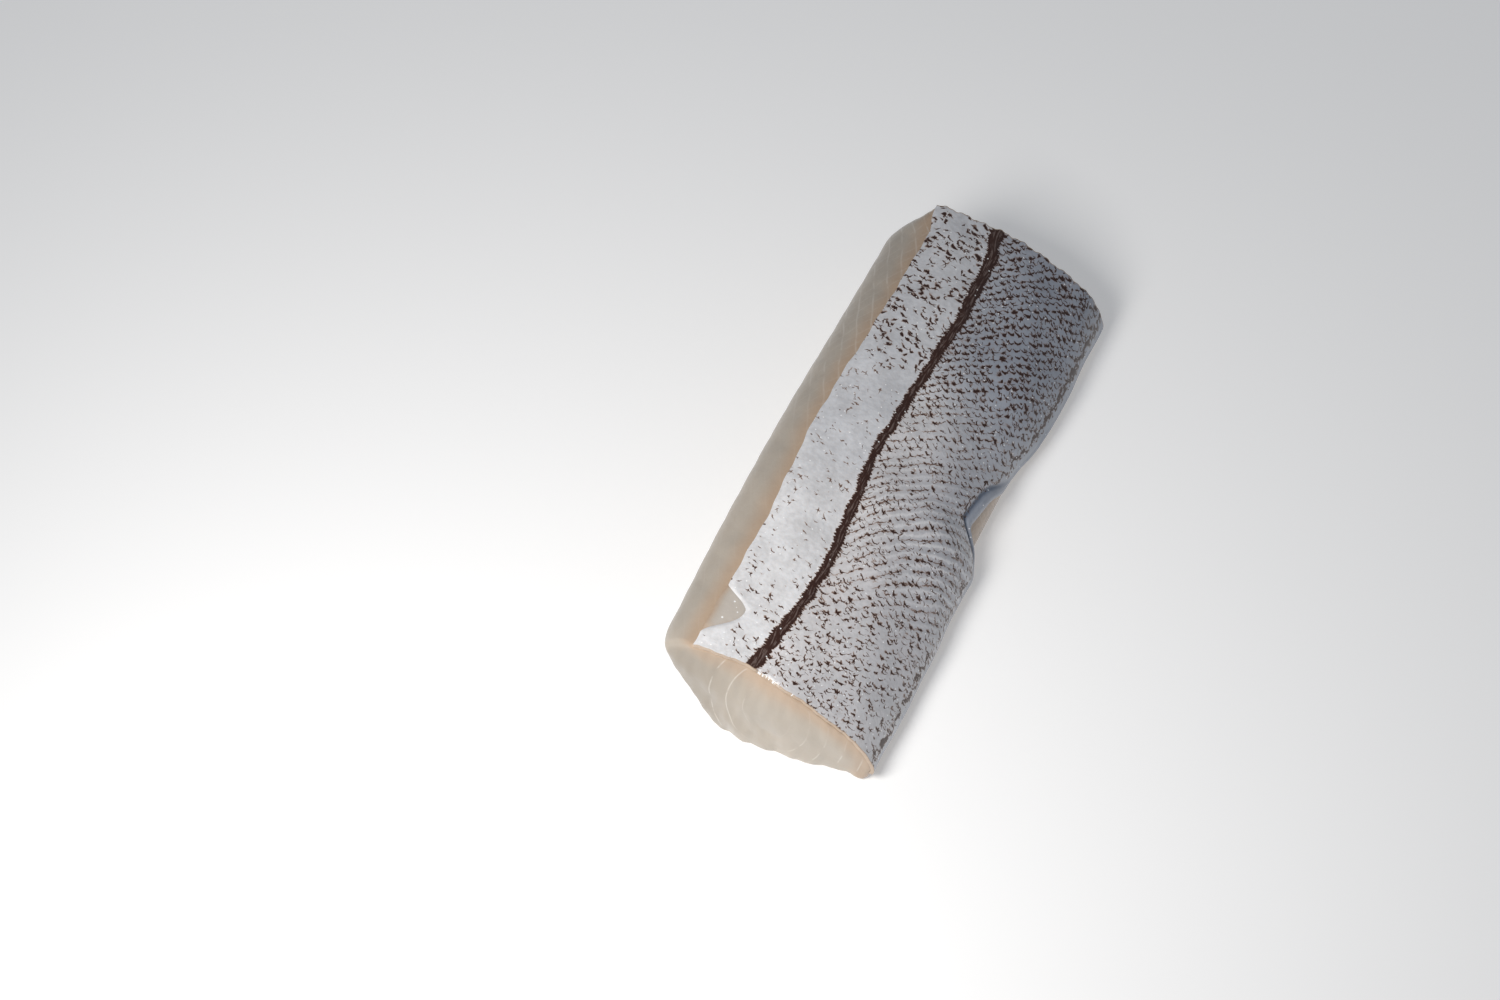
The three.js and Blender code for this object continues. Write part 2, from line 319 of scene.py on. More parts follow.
# Each row of the grid has a place along the loin and a share: 1 on the sides, less on the cuts.
cut_shares = np.sin(np.arange(FLESH_CUT) / FLESH_CUT * pi / 2)  # closer together near the rim
row_share = np.concatenate((cut_shares, np.ones(FLESH_LONG + 1), cut_shares[::-1]))
row_y = np.concatenate((np.zeros(FLESH_CUT), np.linspace(0, LENGTH, FLESH_LONG + 1),
                        np.full(FLESH_CUT, LENGTH)))
points = np.zeros((lengthways + 1, across + 1, 3))
skin_depth = np.zeros((lengthways + 1, across + 1))  # below the trimmed edge, or in from a rim
cut_face = np.zeros((lengthways + 1, across + 1))
bay = np.zeros((lengthways + 1, across + 1))
for row, (y, share) in enumerate(zip(row_y, row_share)):
    ring, below, cover, torn_open = flesh_ring(Section(y))
    middle = ring.mean(0)
    place = middle + (ring - middle) * share
    soft = ease(-below, 1, 6) * (below > -39) * ease(ring[:, 1], 3, 9)
    full_back = CUT_ROUND - 0.9 * cover + SIDE_ROUND * soft
    inset = CUT_INSET * (1 + 2.2 * soft)
    rim = np.clip((share - 1 + inset) / inset, 0, 1)
    meet = (NEAR_MEET + (FAR_MEET - NEAR_MEET) * y / LENGTH) * soft
    back = full_back * (1 - np.sqrt(1 - (rim - rim * meet) ** 2))
    outwards = np.sign(y - LENGTH / 2)
    swell = CUT_BULGE * (1 - share**2) + flake_edges(place[:, 0], place[:, 1]) * (1 - share**4)
    inner = y + (1 - 2 * y / LENGTH) * back
    lie = y + outwards * (swell - back) if share < 1 else inner
    settle = hump(place[:, 0] - FOOT_X, FOOT_HALF) * np.clip(1 - place[:, 1] / FOOT_TOP, 0, 1)
    lie = lie - FOOT_OUT * settle * np.clip(1 - lie / FOOT_REACH, 0, 1) ** 2
    lie = lie + uneven_cuts(place[:, 0], place[:, 1], lie)
    points[row] = np.stack((place[:, 0], np.broadcast_to(lie, len(place)), place[:, 1]), 1)
    inside = np.hypot(*(ring - place).T)
    skin_depth[row] = np.where(share < 1, np.where(cover > 0, -inside, below - inside), below)
    cut_face[row] = ease(1 - share, 0, 0.1)
    bay[row] = torn_open

# The bare side is the leftmost thing on the loin and the bulging cuts are its ends, so they
# place it in the frame.
left, ends = points[..., 0].min(), (points[..., 1].min(), points[..., 1].max())
TO_FRAME = np.array((cad_low.x / MM - left, (cad_low.y + cad_high.y) / MM / 2 - sum(ends) / 2, 0))


def shape(piece, points, values):
    """Moves a grid's vertices to points in millimetres and gives it attributes of the same grid."""
    mesh = piece.data
    mesh.vertices.foreach_set("co", ((points + TO_FRAME) * MM).ravel())
    for name, value in values.items():
        kind = "FLOAT_VECTOR" if value.ndim == 3 else "FLOAT"
        made = mesh.attributes.new(name, kind, "POINT")
        made.data.foreach_set("vector" if value.ndim == 3 else "value", value.astype("f4").ravel())
    mesh.update()


flesh_place = np.stack((skin_depth, points[..., 1], cut_face), 2)
shape(flesh, points, {"flesh_place": flesh_place, "torn_open": bay})
bpy.ops.object.mode_set(mode="EDIT")
bpy.ops.mesh.select_all(action="SELECT")
bpy.ops.mesh.remove_doubles(threshold=WELD)
bpy.ops.mesh.normals_make_consistent(inside=False)
bpy.ops.object.mode_set(mode="OBJECT")
bpy.ops.object.shade_smooth()

# Raw haddock muscle: wet, cream-grey and a little see-through, so light spreads a few
# millimetres in it. Straight under the skin lies a thin tan layer of red muscle and fat, and
# sheets of white tissue part the flakes: rings round the middle of a cut, fine lines on the side.
FLESH_LIGHT, FLESH_DARK, FLESH_TAN, TISSUE = "#BAB0A3", "#B1A89C", "#B89F87", "#E0DBD3"
FLESH_CLEAR = "#978D80"  # where a cut is thin, towards the bare side
FLESH_TORN = "#C2BAB1"  # milky, in the bay where the skin is torn away
GLINT_WHITE = "#FFFFFF"  # painted highlight: white where beads of water catch the light
SHEETS = ((4.04, 0.44, 0.32), (3.6, -0.81, 0.16))  # on the bare side: pitch, slant, strength
CLOUDS, PATCHES, GRAIN, DROPLET_GLINTS = 55, 260, 500, 600  # to a metre: 18, 4, 2 and 1.7 mm each
SMOOTH = {"interpolation_type": "SMOOTHSTEP"}
COLOURS = {"data_type": "RGBA"}


def add(kind, *inputs, **settings):
    """Adds a node to the tree in hand: its inputs in order, and its settings by name."""
    node = tree.nodes.new("ShaderNode" + kind)
    for name, value in settings.items():
        setattr(node, name, value)
    return feed(node, dict(enumerate(inputs)))


muscle, tree, shader = material("raw white fish muscle")
place = add("Attribute", attribute_name="flesh_place").outputs["Vector"]
skin_depth, lengthwise, on_cut = add("SeparateXYZ", place).outputs
coordinates = add("TexCoord").outputs["Object"]
frame_x, _, frame_z = add("SeparateXYZ", coordinates).outputs
clouds = add("TexNoise", coordinates, CLOUDS, 2)
patches = add("TexNoise", coordinates, PATCHES, 2)
tinted = add("MapRange", clouds, 0.36, 0.64, **SMOOTH)
tinted = add("Mix", tinted, FLESH_DARK, FLESH_LIGHT, **COLOURS)

# The tan layer shows at the top of the bare side and all round a cut under the skin. Towards the
# bare side a cut is thin, and shows the darker inside.
fat = add("Math", clouds, 3.0, skin_depth, operation="MULTIPLY_ADD")
fat = add("MapRange", fat, -4.5, 1.6, 0.0, 0.85, **SMOOTH)
tinted = add("Mix", fat, tinted, FLESH_TAN, **COLOURS)
middle_x = float(RING_MIDDLE[0] + TO_FRAME[0])
across = add("Math", frame_x, 1 / MM, -middle_x, operation="MULTIPLY_ADD")
thin = add("MapRange", across, -2.0, -20.0, 0.0, 0.8, **SMOOTH)
thin = add("Math", on_cut, thin, operation="MULTIPLY")
tinted = add("Mix", thin, tinted, FLESH_CLEAR, **COLOURS)
fatty = add("MapRange", skin_depth, -9.5, 0.0, 0.0, 0.55, **SMOOTH)
fatty = add("Math", on_cut, fatty, operation="MULTIPLY")
tinted = add("Mix", fatty, tinted, FLESH_TAN, **COLOURS)

# White rings on a cut: two long ones to the left, short ends of them low on the right.
upward = add("Math", frame_z, 1 / MM, -RING_MIDDLE[1], operation="MULTIPLY_ADD")
wide = add("Math", across, across, operation="MULTIPLY")
tall = add("Math", add("Math", upward, RING_TALL, operation="DIVIDE"), 2.0, operation="POWER")
reach = add("Math", add("Math", wide, tall, operation="ADD"), operation="SQRT")
ring = add("Math", reach, RING_PITCH, operation="DIVIDE")
ring = add("Math", clouds, 0.35, ring, operation="MULTIPLY_ADD")
ring = add("Math", add("Math", ring, operation="FRACT"), 0.5, operation="SUBTRACT")
ring = add("MapRange", add("Math", ring, operation="ABSOLUTE"), 0.06, 0.0, **SMOOTH)
on_left = add("MapRange", across, -3.0, -9.0, 0.0, 0.5, **SMOOTH)
inner = add("MapRange", reach, 17.5, 16.5, **SMOOTH)
on_left = add("Math", on_left, inner, operation="MULTIPLY")
on_right = add("MapRange", across, 2.0, 9.0, **SMOOTH)
low_down = add("MapRange", upward, -2.0, -9.0, 0.2, **SMOOTH)
on_right = add("Math", on_right, low_down, operation="MULTIPLY")
shown = add("Math", on_right, 0.45, on_left, operation="MULTIPLY_ADD")
ring = add("Math", ring, shown, operation="MULTIPLY")
ring = add("Math", ring, on_cut, operation="MULTIPLY")
broken = add("MapRange", patches, 0.4, 0.56, **SMOOTH)
ring = add("Math", ring, broken, operation="MULTIPLY")

# Fine lines on the bare side, in two crossing sets that fade towards the near cut.
sheets = []
for pitch, slant, strength in SHEETS:
    run = add("Math", lengthwise, slant, skin_depth, operation="MULTIPLY_ADD")
    run = add("Math", run, pitch, operation="DIVIDE")
    sheet = add("Math", clouds, 0.3, run, operation="MULTIPLY_ADD")
    sheet = add("Math", add("Math", sheet, operation="FRACT"), 0.5, operation="SUBTRACT")
    sheet = add("MapRange", add("Math", sheet, operation="ABSOLUTE"), 0.1, 0.0, **SMOOTH)
    sheets.append(add("Math", sheet, strength, operation="MULTIPLY"))
sheet = add("Math", *sheets, operation="MAXIMUM")
fading = add("MapRange", lengthwise, 55.0, 105.0, 0.15, **SMOOTH)
sheet = add("Math", sheet, fading, operation="MULTIPLY")
broken = add("MapRange", patches, 0.3, 0.56, **SMOOTH)
sheet = add("Math", sheet, broken, operation="MULTIPLY")
off_cut = add("Math", 1.0, on_cut, operation="SUBTRACT")
sheet = add("Math", sheet, off_cut, operation="MULTIPLY")

torn_open = add("Attribute", attribute_name="torn_open").outputs["Fac"]
tinted = add("Mix", torn_open, tinted, FLESH_TORN, **COLOURS)
white = add("Math", ring, sheet, operation="MAXIMUM")
tinted = add("Mix", white, tinted, TISSUE, **COLOURS)
# Painted highlights: white glints where beads of water catch the light in the torn bay.
droplet_glints = add("MapRange", add("TexVoronoi", coordinates, DROPLET_GLINTS), 0.2, 0.1, **SMOOTH)
in_bay = add("MapRange", torn_open, 0.5, 0.9, **SMOOTH)
droplet_glints = add("Math", droplet_glints, in_bay, operation="MULTIPLY")
tinted = add("Mix", droplet_glints, tinted, GLINT_WHITE, **COLOURS)

grain = add("TexNoise", coordinates, GRAIN, 2)
height = add("Math", ring, 0.6, grain, operation="MULTIPLY_ADD")
height = add("Math", patches, height, operation="ADD")
bump = feed(add("Bump"), {"Height": height, "Strength": 0.25, "Distance": 0.3 * MM})
feed(shader, {
    "Base Color": tinted, "Roughness": 0.4, "Normal": bump,
    "Subsurface Weight": 0.3, "Subsurface Radius": (1.0, 0.9, 0.8), "Subsurface Scale": 2.2 * MM,
    "Coat Weight": 0.5, "Coat Roughness": 0.12,
})

flesh.data.materials.append(muscle)
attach(flesh, "root")
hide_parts("haddock_loin")


# ---------------------------------------------------------------------------------------------
# Skin: scaled but still on, under a millimetre thick, cut through with the flesh at both ends
# and trimmed along the bare side. Its dark pigment sits in the rows of scale pockets and in the
# black lateral line. A fine grid follows it from its trimmed edge to its lower edge.
SKIN_ACROSS, SKIN_LONG = 118, 300
LINE_PLACES = [14.2, 16.0, 16.9, 18.0, 17.6, 17.5, 16.8, 16.7, 17.3, 17.3, 17.6, 17.9, 17.6, 17.3,
               17.0]  # the lateral line's distance from the trimmed edge, evenly along the loin
LINE_HALVES = [1.5, 1.2, 1.05, 0.95, 1.0, 1.2, 1.4, 1.6]  # half of its width
ROW_PITCHES = [2.9, 3.3, 3.2, 2.8, 2.8]  # from one row of scales to the next, along the loin
ROW_PITCH_PLACES = [0, 30, 65, 95, 150]
LINE_RIDGE, LINE_RIDGE_HALF = 0.3, 1.9  # the lateral line stands up a little
EDGE_THIN, EDGE_THIN_REACH = 0.3, 1.2  # the skin thins out to both of its long edges
SHEET = 0.9  # a little thicker than SKIN, so that its inner side lies just inside the flesh
SHEET_BEVEL, SHEET_CORNER = 0.25, radians(50)

bpy.ops.object.select_all(action="DESELECT")
bpy.ops.mesh.primitive_grid_add(x_subdivisions=SKIN_ACROSS, y_subdivisions=SKIN_LONG, size=1)
skin = bpy.context.object
skin.name = "skin"

columns = np.linspace(0, 1, SKIN_ACROSS + 1)
rows = np.linspace(0, LENGTH, SKIN_LONG + 1)
points = np.zeros((SKIN_LONG + 1, SKIN_ACROSS + 1, 3))
s_all = np.zeros(points.shape[:2])
low_all = np.zeros(points.shape[:2])
line_y = spline(LINE_PLACES, rows / LENGTH)
half_y = spline(LINE_HALVES, rows / LENGTH)
for row, y in enumerate(rows):
    section = Section(y)
    s = section.torn + (section.low - section.torn) * columns
    ridge = LINE_RIDGE * hump(s - line_y[row], LINE_RIDGE_HALF)
    to_edge = np.minimum(s - section.torn, section.low - s)
    taper = EDGE_THIN * (1 - ease(to_edge, 0, EDGE_THIN_REACH))
    place = along(section.skinned, s, SKIN + skin_relief(section, s) + ridge - taper)
    lie = y + uneven_cuts(place[:, 0], place[:, 1], np.full(len(s), y))
    points[row] = np.stack((place[:, 0], lie, place[:, 1]), 1)
    s_all[row], low_all[row] = s, section.low - s

y_all = np.repeat(rows[:, None], SKIN_ACROSS + 1, 1)
from_line = s_all - line_y[:, None]

# Rows of scales run up and back from the lateral line on both sides of it.
mid = hump(y_all - 55, 30)
steeper = 0.3 * (1 - ease(y_all, 0, 40))  # at the near cut
right = (0.95 + 0.4 * mid + steeper) * from_line - (0.003 + 0.014 * mid) * from_line**2
y_even = np.linspace(-80, 240, 641)
rows_passed = np.cumsum(0.5 / np.interp(y_even, ROW_PITCH_PLACES, ROW_PITCHES))
passed = lambda y: np.interp(y, y_even, rows_passed)
row_place = passed(np.where(from_line > 0, y_all - right, y_all + 0.75 * from_line))
in_row = 0.95 * passed(np.where(from_line > 0, y_all + from_line / 0.9, from_line / 0.75 - y_all))
ridges = 0.08 * np.sin(2 * pi * row_place) * ease(from_line, 2, 8) * ease(low_all, 4, 6)
points[..., 2] += ridges * (0.3 + 0.7 * mid)

# How likely dashes are in rows, how likely strewn ones are, and how blue the ground is, partly in
# its own colour and partly as painted shade.
free = ease(low_all - 1.2 * ease(y_all, 75, 100), 2.4, 3.6)
right_side, left_side = ease(from_line, 0, 1.5), 1 - ease(from_line, -1, 1)
to_back = ease(y_all, 85, 112)
presence = right_side * (0.74 + 0.21 * ease(y_all, 8, 36) + 0.1 * to_back) * free
strewn = left_side * (0.52 + 0.02 * ease(-y_all, -40, -12) + 0.6 * to_back)
strewn = strewn + right_side * (0.38 - 0.13 * ease(y_all, 22, 48)) * free
# The blue-grey of the ground is partly the skin's own colour and partly painted shade: deeper
# towards the far cut, out past the lateral line and along the lower edge.
blue_grey_and_shade = 0.54 * ease(from_line, -4, 26) * ease(y_all, -60, 120) + 0.2 * to_back
blue_grey_and_shade = blue_grey_and_shade + 0.2 * ease(y_all, 45, 75) * (1 - to_back) * left_side
blue_grey_and_shade = blue_grey_and_shade + 0.3 * to_back * right_side * (1 - ease(from_line, 6, 26))
blue_grey_and_shade = blue_grey_and_shade + 0.3 * (1 - ease(low_all, 2.2, 3.4))
line_all = np.abs(from_line) - half_y[:, None]  # from the edge of the lateral line
shape(skin, points, {
    "skin_place": np.stack((s_all, y_all, 0 * y_all), 2),
    "scale_place": np.stack((in_row, row_place, mid), 2),
    "skin_edges": np.stack((low_all, line_all, span(y_all, CREASE_SPAN)), 2),
    "pigment_and_shade": np.stack((presence, strewn, blue_grey_and_shade), 2),
})
bpy.ops.object.modifier_add(type="SOLIDIFY")
skin.modifiers[-1].thickness = SHEET * MM
skin.modifiers[-1].offset = -1
bpy.ops.object.modifier_apply(modifier=skin.modifiers[-1].name)
bpy.ops.object.modifier_add(type="BEVEL")
skin.modifiers[-1].width = SHEET_BEVEL * MM
skin.modifiers[-1].segments = 2
skin.modifiers[-1].angle_limit = SHEET_CORNER
bpy.ops.object.modifier_apply(modifier=skin.modifiers[-1].name)
bpy.ops.object.shade_smooth()

# Wet haddock skin: silver-white and satin, blue-grey towards the back of the fish (partly its own
# colour, partly painted shade), with dashes of brown-black pigment in the rows of scale pockets, a
# black lateral line and a thin wet gloss. Shade in the crease and highlights on wrinkles and water
# are painted into it too. The patterns lie in the skin's own millimetres, from its trimmed edge and
# from the near cut.
# The blue-grey below is partly the skin's own colour and partly painted shade.
SKIN_PALE, SKIN_GREY, SKIN_BLUE_AND_SHADE, SKIN_ROSY = "#ECECEE", "#D6D5D6", "#6A7990", "#CBBFBC"
PIGMENT, PIGMENT_EDGE, LINE_GREY = "#371D12", "#987154", "#75655F"
# Painted shade: the blue-dark of the crease above the skin's lower edge.
PAINTED_CREASE_SHADE = "#52627A"
SKIN_UNDER = "#BDA893"  # its cut edges
FAINTEST = 62.0  # the strewn dashes are faintest at this place along the loin
FLAT = {"noise_dimensions": "2D"}

hide, tree, shader = material("wet haddock skin")
place = add("Attribute", attribute_name="skin_place").outputs["Vector"]
scales = add("Attribute", attribute_name="scale_place").outputs["Vector"]
edges = add("Attribute", attribute_name="skin_edges").outputs["Vector"]
pigment_and_shade = add("Attribute", attribute_name="pigment_and_shade").outputs["Vector"]
along_s, along_y, _ = add("SeparateXYZ", place).outputs
_, _, wrinkles = add("SeparateXYZ", scales).outputs
low_away, line_away, creased = add("SeparateXYZ", edges).outputs
presence, strewn, blue_grey_and_shade = add("SeparateXYZ", pigment_and_shade).outputs


def scattered(cells, scale, randomness):
    """Points strewn at random: the way from the nearest, in cells, and three random numbers."""
    points = feed(add("TexVoronoi", voronoi_dimensions="2D"),
                  {"Vector": cells, "Scale": scale, "Randomness": randomness})
    way = add("VectorMath", cells, points.outputs["Position"], operation="SUBTRACT")
    return way, points.outputs["Color"]


def in_rows(cells, along, jitter):
    """Points set along rows, each row shifted by chance, as scales are."""
    x, y, _ = add("SeparateXYZ", cells).outputs
    row = add("Math", y, operation="FLOOR")
    shift = add("Math", add("TexWhiteNoise", row, noise_dimensions="1D"), 9.0, operation="MULTIPLY")
    run = add("Math", add("Math", x, along, operation="MULTIPLY"), shift, operation="ADD")
    cell = add("CombineXYZ", add("Math", run, operation="FLOOR"), row)
    chance = add("TexWhiteNoise", cell, noise_dimensions="2D").outputs["Color"]
    x = add("Math", add("Math", run, operation="FRACT"), 0.5, operation="SUBTRACT")
    x = add("Math", x, along, operation="DIVIDE")
    y = add("Math", add("Math", y, operation="FRACT"), 0.5, operation="SUBTRACT")
    moved = add("VectorMath", chance, (0.5, 0.5, 0.5), operation="SUBTRACT")
    way = add("VectorMath", moved, jitter, add("CombineXYZ", x, y), operation="MULTIPLY_ADD")
    return way, chance


def dashes(offset, chance, presence, length, width, twist, spread, bend):
    """A bent dash with a thick head at each point, often branched: 0 outside, 1 in its middle."""
    red, green, blue = add("SeparateColor", chance).outputs
    turn = add("Math", red, 2.0, -1.0, operation="MULTIPLY_ADD")
    turn = add("Math", turn, 3.0, operation="POWER")
    turn = add("Math", turn, spread, twist, operation="MULTIPLY_ADD")
    curl = add("Math", green, 2.4, bend - 1.2, operation="MULTIPLY_ADD")
    long = add("Math", red, 0.9 * length, 0.55 * length, operation="MULTIPLY_ADD")
    wide = add("Math", blue, width, 0.5 * width, operation="MULTIPLY_ADD")
    branched = add("MapRange", green, 0.48, 0.58, 0.05, 0.55, **SMOOTH)
    strokes = []
    for branch, share in ((0.0, 1.0), (1.25, branched)):
        angle = add("Math", turn, branch, operation="ADD")
        turned = feed(add("VectorRotate", rotation_type="Z_AXIS"),
                      {"Vector": offset, "Angle": angle})
        x, y, _ = add("SeparateXYZ", turned).outputs
        curve = add("Math", add("Math", x, x, operation="MULTIPLY"), curl, operation="MULTIPLY")
        reach = add("Math", long, share, operation="MULTIPLY")
        reach = add("Math", reach, boldness, operation="MULTIPLY")
        far_x = add("Math", x, reach, operation="DIVIDE")
        head = add("MapRange", far_x, -1.0, 1.2, 1.3, 0.45, **SMOOTH)
        thick = add("Math", boldness, head, operation="MULTIPLY")
        thick = add("Math", wide, thick, operation="MULTIPLY")
        far_y = add("Math", add("Math", curve, y, operation="ADD"), thick, operation="DIVIDE")
        away = add("VectorMath", add("CombineXYZ", far_x, far_y), operation="LENGTH")
        strokes.append(add("MapRange", away, 1.8, 0.3, **SMOOTH))
    shown = add("Math", presence, blue, operation="SUBTRACT")
    shown = add("MapRange", shown, 0.0, 0.06, **SMOOTH)
    return add("Math", add("Math", *strokes, operation="MAXIMUM"), shown, operation="MULTIPLY")


# Nothing on a fish is ruled: the rows waver over 11 mm, and each dash has a ragged outline of
# 0.8 mm bits. The dashes are bolder near the ends of the loin than in its middle.
bold_front = add("MapRange", along_y, 45.0, 15.0, 0.0, 0.28, **SMOOTH)
bold_back = add("MapRange", along_y, 80.0, 112.0, 1.0, 1.65, **SMOOTH)
boldness = add("Math", bold_front, presence, bold_back, operation="MULTIPLY_ADD")
warp = add("TexNoise", place, 0.09, 2, **FLAT).outputs["Color"]
ragged = add("TexNoise", place, 1.3, 3, **FLAT).outputs["Color"]
tufts = add("TexNoise", place, 0.22, 1, **FLAT)  # 4.5 mm each
cells = add("VectorMath", warp, (1.5, 1.2, 0.0), scales, operation="MULTIPLY_ADD")
cells = add("VectorMath", ragged, (0.42, 0.42, 0.0), cells, operation="MULTIPLY_ADD")
free_cells = add("VectorMath", ragged, (0.9, 0.9, 0.0), place, operation="MULTIPLY_ADD")
free_cells = add("VectorMath", free_cells, (0.45, 0.45, 0.0), operation="MULTIPLY")  # 2.2 mm each

# The dashes lie along the rows where the skin wrinkles, and along its lower edge near the far
# cut.
twist = add("Math", wrinkles, -0.55, 0.6, operation="MULTIPLY_ADD")
rear = add("MapRange", along_y, 115.0, 85.0, **SMOOTH)
twist = add("Math", twist, rear, operation="MULTIPLY")
edge_near = add("MapRange", low_away, 10.0, 5.0, **SMOOTH)
rear = add("MapRange", along_y, 85.0, 110.0, **SMOOTH)
turned_back = add("Math", edge_near, rear, operation="MULTIPLY")
twist = add("Math", turned_back, -0.8, twist, operation="MULTIPLY_ADD")

# Dashes in rows, smaller ones doubled between them, loose ones fainter in the middle of the
# length, and tiny ones among them all.
rowed = dashes(*in_rows(cells, 0.95, (0.3, 0.22, 0.0)), presence, 0.36, 0.078, twist, 1.2, -1.2)
between_rows = add("VectorMath", cells, (3.3, 0.5, 0.0), operation="ADD")
off_front = add("MapRange", along_y, 15.0, 45.0, 0.2, **SMOOTH)
off_back = add("MapRange", along_y, 95.0, 60.0, 0.1, 0.4, **SMOOTH)
chance = add("Math", presence, off_front, operation="MULTIPLY")
chance = add("Math", chance, off_back, operation="MULTIPLY")
doubled = in_rows(between_rows, 1.25, (0.3, 0.5, 0.0))
doubled = dashes(*doubled, chance, 0.28, 0.065, twist, 2.0, 0.0)
tufted = add("MapRange", tufts, 0.28, 0.6, **SMOOTH)
scatter = add("Math", strewn, tufted, operation="MULTIPLY")
loose = dashes(*scattered(free_cells, 1.0, 0.85), scatter, 0.34, 0.08, 0.35, 1.3, 0.0)
from_middle = add("Math", along_y, FAINTEST, operation="SUBTRACT")
from_middle = add("Math", from_middle, operation="ABSOLUTE")
fading = add("MapRange", from_middle, 45.0, 25.0, 1.0, 0.66, **SMOOTH)
loose = add("Math", loose, fading, operation="MULTIPLY")
chance = add("Math", add("Math", scatter, presence, operation="ADD"), 0.3, operation="MULTIPLY")
tiny = dashes(*scattered(free_cells, 1.9, 1.0), chance, 0.15, 0.055, 0.3, 3.0, 0.0)
specks = add("Math", rowed, doubled, operation="MAXIMUM")
specks = add("Math", specks, add("Math", loose, tiny, operation="MAXIMUM"), operation="MAXIMUM")

# Fainter threads of pigment run on along each row from dash to dash.
in_row_y = add("Math", add("SeparateXYZ", cells).outputs["Y"], operation="FRACT")
row_middle = add("Math", add("Math", in_row_y, 0.5, operation="SUBTRACT"), operation="ABSOLUTE")
threads = add("MapRange", row_middle, 0.11, 0.02, **SMOOTH)
tufted = add("MapRange", tufts, 0.42, 0.6, **SMOOTH)
threads = add("Math", threads, tufted, operation="MULTIPLY")
threads = add("Math", threads, presence, operation="MULTIPLY")
off_back = add("MapRange", along_y, 110.0, 80.0, 0.25, 0.62, **SMOOTH)
off_front = add("MapRange", along_y, 20.0, 45.0, **SMOOTH)
fading = add("Math", off_back, off_front, operation="MULTIPLY")
threads = add("Math", threads, fading, operation="MULTIPLY")
specks = add("Math", specks, threads, operation="MAXIMUM")

# The lateral line: a black band with a frayed edge and a few violet-grey streaks along it. A
# broken dark chain wanders along the skin's lower edge and bounds a bare strip there, which is
# wider towards the far cut.
stretched = add("VectorMath", place, (0.7, 2.2, 1.0), operation="MULTIPLY")
frayed = add("TexNoise", stretched, 1.0, 3, **FLAT)  # 1.4 by 0.5 mm each
line_edge = add("Math", tufts, 1.2, line_away, operation="MULTIPLY_ADD")
line_edge = add("Math", frayed, 1.8, line_edge, operation="MULTIPLY_ADD")
line = add("MapRange", line_edge, 1.85, 1.3, **SMOOTH)
wander = add("TexNoise", place, 0.35, 3, **FLAT)  # 3 mm each
chain_way = add("Math", wander, -5.0, low_away, operation="MULTIPLY_ADD")
chain_place = add("MapRange", along_y, 75.0, 100.0, 1.9, 3.4, **SMOOTH)
chain_way = add("Math", chain_way, chain_place, operation="SUBTRACT")
chain_way = add("Math", chain_way, operation="ABSOLUTE")
bolder = add("MapRange", along_y, 80.0, 100.0, 0.0, 0.22, **SMOOTH)
chain_way = add("Math", chain_way, bolder, operation="SUBTRACT")
chain = add("Math", frayed, 1.1, chain_way, operation="MULTIPLY_ADD")
chain = add("MapRange", chain, 1.15, 0.65, **SMOOTH)
front = add("MapRange", along_y, 40.0, 20.0, **SMOOTH)
rear = add("MapRange", along_y, 85.0, 105.0, **SMOOTH)
whole = add("Math", front, rear, operation="MAXIMUM")
gaps = add("TexNoise", place, 0.5, 2, **FLAT)  # 2 mm each
gaps = add("Math", whole, 0.12, gaps, operation="MULTIPLY_ADD")
gaps = add("MapRange", gaps, 0.42, 0.52, **SMOOTH)
chain = add("Math", chain, gaps, operation="MULTIPLY")
pigment = add("Math", specks, add("Math", line, chain, operation="MAXIMUM"), operation="MAXIMUM")

# The ground between: silver-white, cooler and darker towards the back of the fish, partly in its
# own colour and partly as painted shade, in 1.3 mm granules and 6 mm blotches, with painted
# highlights as whitish ridges between the rows where the skin is wrinkled, and painted blue shade
# in the crease.
granules = add("TexNoise", place, 0.75, 2, **FLAT)
blotches = add("TexNoise", place, 0.16, 2, **FLAT)
tone = add("Math", granules, 0.45, operation="MULTIPLY")
tone = add("Math", blotches, 0.55, tone, operation="MULTIPLY_ADD")
tone = add("MapRange", tone, 0.26, 0.74, **SMOOTH)
ground = add("Mix", tone, SKIN_GREY, SKIN_PALE, **COLOURS)
rosy = add("Math", presence, blotches, operation="MULTIPLY")
off_back = add("MapRange", along_y, 110.0, 60.0, 0.0, 0.5, **SMOOTH)
rosy = add("Math", rosy, off_back, operation="MULTIPLY")
ground = add("Mix", rosy, ground, SKIN_ROSY, **COLOURS)
# Partly painted shade: the ground turns blue-grey towards the far cut and out past the line.
cooler_and_shaded = add("Math", blue_grey_and_shade, 0.85, operation="MULTIPLY")
ground = add("Mix", cooler_and_shaded, ground, SKIN_BLUE_AND_SHADE, **COLOURS)
# Painted highlight: the whitish lines between the rows where the skin is wrinkled.
ridge_highlight = add("MapRange", row_middle, 0.28, 0.48, **SMOOTH)
ridge_highlight = add("Math", ridge_highlight, wrinkles, operation="MULTIPLY")
ridge_highlight = add("Math", ridge_highlight, presence, operation="MULTIPLY")
ridge_highlight = add("Math", ridge_highlight, 0.65, operation="MULTIPLY")
ground = add("Mix", ridge_highlight, ground, SKIN_PALE, **COLOURS)
